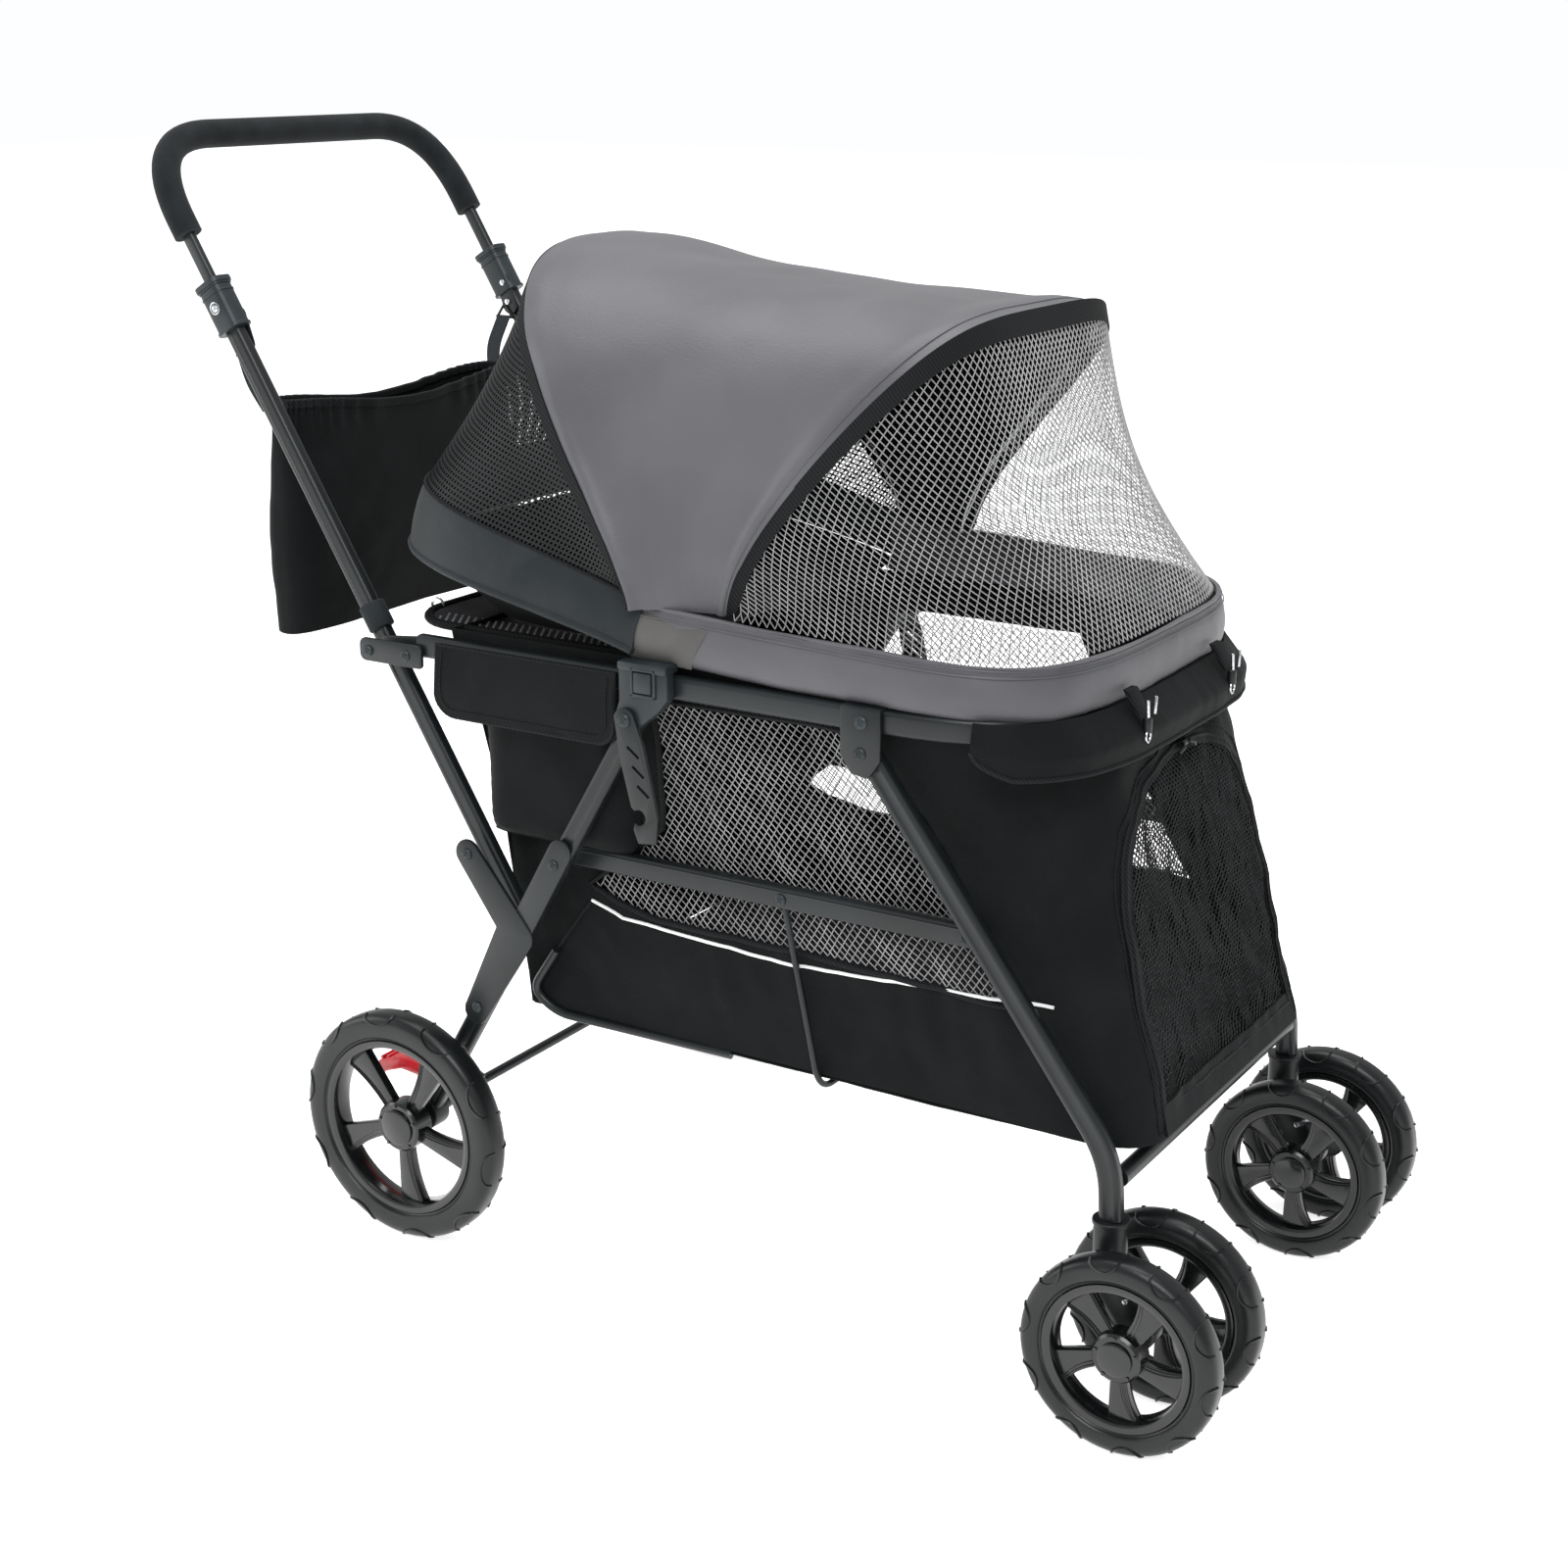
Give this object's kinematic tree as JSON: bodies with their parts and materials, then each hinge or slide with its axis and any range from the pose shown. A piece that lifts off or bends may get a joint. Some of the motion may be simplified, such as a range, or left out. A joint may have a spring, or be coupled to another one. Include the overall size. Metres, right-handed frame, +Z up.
{
  "type": "pet stroller",
  "caption": "Folding pet stroller: fabric cabin hung in a tube frame, grey hood with a net window, rear tray and bag, twin front casters, telescopic handle.",
  "frame": {"origin": "on the floor, under the middle of the whole length and width", "axes": "+X forward, towards the casters; +Y to the stroller's left; +Z up"},
  "size_m": [1.1615, 0.552, 1.0425],
  "materials": {
    "painted_frame": "semi-gloss charcoal paint",
    "bare_steel": "bright steel rod",
    "black_plastic": "moulded, fine grain",
    "slate_plastic": "moulded slate grey",
    "grip_foam": "closed-cell foam",
    "brake_red": "glossy red",
    "black_cloth": "coated black polyester",
    "grey_cloth": "grey coated polyester with a leather grain",
    "net": "light open net",
    "tyre": "moulded foam rubber tyre",
    "gloss_rim": "glossy black moulding"
  },
  "bodies": {
    "frame": {"top_rail": "painted_frame", "rail_bracket_right": "painted_frame", "rail_bracket_left": "painted_frame", "hinge_plate_right": "painted_frame", "hinge_plate_left": "painted_frame", "latch_block_right": "black_plastic", "latch_block_left": "black_plastic", "cabin_shell": "black_cloth", "rear_tray": "grey_cloth", "hood_rim": "grey_cloth"},
    "rear_legs": {"rear_leg_right": "painted_frame", "rear_leg_left": "painted_frame", "rear_axle": "bare_steel"},
    "handle_lower": {"handle_tube_right": "painted_frame", "handle_tube_left": "painted_frame", "handle_sleeve_right": "slate_plastic", "handle_sleeve_left": "slate_plastic", "rear_bag": "black_cloth"},
    "handle_upper": {"handle_bar": "painted_frame", "handle_grip": "grip_foam"},
    "front_legs": {"front_leg_right": "painted_frame", "front_leg_left": "painted_frame", "front_cross_tube": "painted_frame"},
    "side_bars": {"side_bar_right": "painted_frame", "side_bar_left": "painted_frame", "floor_wire": "painted_frame"},
    "elbows": {"elbow_bracket_right": "painted_frame", "elbow_bracket_left": "painted_frame"},
    "floor": {"floor_board": "black_plastic", "floor_pad": "black_cloth"},
    "front_bow": {"front_bow": "bare_steel", "hood_net": "net"},
    "rear_bow": {"rear_bow": "bare_steel", "hood_panel": "grey_cloth"},
    "rear_hoop": {"rear_hoop": "slate_plastic", "hood_mesh": "black_cloth"},
    "rear_wheel_right": {"rear_right_tyre": "tyre", "rear_right_rim": "gloss_rim"},
    "brake_pedal_right": {"brake_pedal_right": "brake_red"},
    "caster_right": {"caster_fork_right": "black_plastic"},
    "front_wheel_right_outer": {"front_right_outer_tyre": "tyre", "front_right_outer_rim": "gloss_rim"},
    "front_wheel_right_inner": {"front_right_inner_tyre": "tyre", "front_right_inner_rim": "gloss_rim"},
    "latch_button_right": {"latch_button_right": "slate_plastic"},
    "fold_hook_right": {"fold_hook_right": "painted_frame"},
    "pocket_flap_right": {"pocket_flap_right": "black_cloth"},
    "handle_button_right": {"handle_button_right": "black_plastic"},
    "rear_wheel_left": {"rear_left_tyre": "tyre", "rear_left_rim": "gloss_rim"},
    "brake_pedal_left": {"brake_pedal_left": "brake_red"},
    "caster_left": {"caster_fork_left": "black_plastic"},
    "front_wheel_left_outer": {"front_left_outer_tyre": "tyre", "front_left_outer_rim": "gloss_rim"},
    "front_wheel_left_inner": {"front_left_inner_tyre": "tyre", "front_left_inner_rim": "gloss_rim"},
    "latch_button_left": {"latch_button_left": "slate_plastic"},
    "fold_hook_left": {"fold_hook_left": "painted_frame"},
    "pocket_flap_left": {"pocket_flap_left": "black_cloth"},
    "handle_button_left": {"handle_button_left": "black_plastic"}
  },
  "joints": [
    {"name": "frame_fold", "type": "hinge", "parent": "frame", "child": "rear_legs", "pos_m": [0.00794, 0, 0.556], "axis": [0, 1, 0], "range_deg": [0, 41.5]},
    {"name": "handle_fold", "type": "hinge", "parent": "frame", "child": "handle_lower", "pos_m": [-0.29106, 0, 0.576], "axis": [0, 1, 0], "range_deg": [-0.05, 100.16]},
    {"name": "front_leg_fold", "type": "hinge", "parent": "frame", "child": "front_legs", "pos_m": [0.23594, 0, 0.558], "axis": [0, 1, 0], "range_deg": [-0.05, 32.47]},
    {"name": "side_bar_fold", "type": "hinge", "parent": "rear_legs", "child": "side_bars", "pos_m": [-0.08306, 0, 0.403], "axis": [0, 1, 0], "range_deg": [-23.53, 0.05]},
    {"name": "elbow_fold", "type": "hinge", "parent": "rear_legs", "child": "elbows", "pos_m": [-0.17906, 0, 0.241], "axis": [0, 1, 0], "range_deg": [-109.36, 0.05]},
    {"name": "floor_lift", "type": "slide", "parent": "frame", "child": "floor", "axis": [0, 0, 1], "range_m": [-0.0001, 0.0401], "deforming": ["cabin_shell"]},
    {"name": "front_bow_fold", "type": "hinge", "parent": "frame", "child": "front_bow", "pos_m": [0.04594, 0, 0.655], "axis": [0, 1, 0], "range_deg": [-0.05, 30.05], "deforming": ["hood_net"]},
    {"name": "rear_bow_fold", "type": "hinge", "parent": "front_bow", "child": "rear_bow", "pos_m": [0.04594, 0, 0.655], "axis": [0, 1, 0], "range_deg": [-0.05, 75.05], "deforming": ["hood_panel"]},
    {"name": "rear_hoop_fold", "type": "hinge", "parent": "rear_bow", "child": "rear_hoop", "pos_m": [0.04594, 0, 0.655], "axis": [0, 1, 0], "range_deg": [-0.05, 35.05], "deforming": ["hood_mesh"]},
    {"name": "handle_height", "type": "slide", "parent": "handle_lower", "child": "handle_upper", "axis": [-0.5205, 0, 0.8539], "range_m": [-0.04, 0.06]},
    {"name": "rear_wheel_right_spin", "type": "hinge", "parent": "rear_legs", "child": "rear_wheel_right", "pos_m": [-0.25406, -0.261, 0.115], "axis": [0, 1, 0], "continuous": true},
    {"name": "brake_pedal_right_press", "type": "hinge", "parent": "rear_legs", "child": "brake_pedal_right", "pos_m": [-0.27406, -0.18, 0.129], "axis": [0, 1, 0], "range_deg": [-14, 0]},
    {"name": "caster_right_swivel", "type": "hinge", "parent": "front_legs", "child": "caster_right", "pos_m": [0.45994, -0.2, 0.182], "axis": [0, 0, 1], "continuous": true},
    {"name": "front_wheel_right_outer_spin", "type": "hinge", "parent": "caster_right", "child": "front_wheel_right_outer", "pos_m": [0.49294, -0.246, 0.088], "axis": [0, 1, 0], "continuous": true},
    {"name": "front_wheel_right_inner_spin", "type": "hinge", "parent": "caster_right", "child": "front_wheel_right_inner", "pos_m": [0.49294, -0.154, 0.088], "axis": [0, 1, 0], "continuous": true},
    {"name": "latch_button_right_press", "type": "slide", "parent": "frame", "child": "latch_button_right", "axis": [0, 1, 0], "range_m": [0, 0.003], "stiffness_N_per_m": 600},
    {"name": "fold_hook_right_swing", "type": "hinge", "parent": "frame", "child": "fold_hook_right", "pos_m": [0.00794, -0.2484, 0.556], "axis": [0, 1, 0], "range_deg": [-15, 15]},
    {"name": "pocket_flap_right_lift", "type": "hinge", "parent": "frame", "child": "pocket_flap_right", "pos_m": [-0.11006, -0.23925, 0.594], "axis": [1, 0, 0], "range_deg": [-120, 0]},
    {"name": "handle_button_right_press", "type": "slide", "parent": "handle_lower", "child": "handle_button_right", "axis": [0, 1, 0], "range_m": [0, 0.002], "stiffness_N_per_m": 400},
    {"name": "rear_wheel_left_spin", "type": "hinge", "parent": "rear_legs", "child": "rear_wheel_left", "pos_m": [-0.25406, 0.261, 0.115], "axis": [0, 1, 0], "continuous": true},
    {"name": "brake_pedal_left_press", "type": "hinge", "parent": "rear_legs", "child": "brake_pedal_left", "pos_m": [-0.27406, 0.18, 0.129], "axis": [0, 1, 0], "range_deg": [-14, 0]},
    {"name": "caster_left_swivel", "type": "hinge", "parent": "front_legs", "child": "caster_left", "pos_m": [0.45994, 0.2, 0.182], "axis": [0, 0, 1], "continuous": true},
    {"name": "front_wheel_left_outer_spin", "type": "hinge", "parent": "caster_left", "child": "front_wheel_left_outer", "pos_m": [0.49294, 0.246, 0.088], "axis": [0, 1, 0], "continuous": true},
    {"name": "front_wheel_left_inner_spin", "type": "hinge", "parent": "caster_left", "child": "front_wheel_left_inner", "pos_m": [0.49294, 0.154, 0.088], "axis": [0, 1, 0], "continuous": true},
    {"name": "latch_button_left_press", "type": "slide", "parent": "frame", "child": "latch_button_left", "axis": [0, -1, 0], "range_m": [0, 0.003], "stiffness_N_per_m": 600},
    {"name": "fold_hook_left_swing", "type": "hinge", "parent": "frame", "child": "fold_hook_left", "pos_m": [0.00794, 0.2484, 0.556], "axis": [0, 1, 0], "range_deg": [-15, 15]},
    {"name": "pocket_flap_left_lift", "type": "hinge", "parent": "frame", "child": "pocket_flap_left", "pos_m": [-0.11006, 0.23925, 0.594], "axis": [1, 0, 0], "range_deg": [0, 120]},
    {"name": "handle_button_left_press", "type": "slide", "parent": "handle_lower", "child": "handle_button_left", "axis": [0, -1, 0], "range_m": [0, 0.002], "stiffness_N_per_m": 400}
  ],
  "couplings": [
    {"joint": "handle_fold", "follows": "frame_fold", "ratio": 2.4124},
    {"joint": "front_leg_fold", "follows": "frame_fold", "ratio": 0.78116},
    {"joint": "side_bar_fold", "follows": "frame_fold", "ratio": -0.56574},
    {"joint": "elbow_fold", "follows": "frame_fold", "ratio": -2.634},
    {"joint": "floor_lift", "follows": "frame_fold", "m_per_rad": 0.055225},
    {"joint": "front_bow_fold", "follows": "frame_fold", "ratio": 0.72289},
    {"joint": "rear_bow_fold", "follows": "frame_fold", "ratio": 1.8072},
    {"joint": "rear_hoop_fold", "follows": "frame_fold", "ratio": 0.84337}
  ]
}
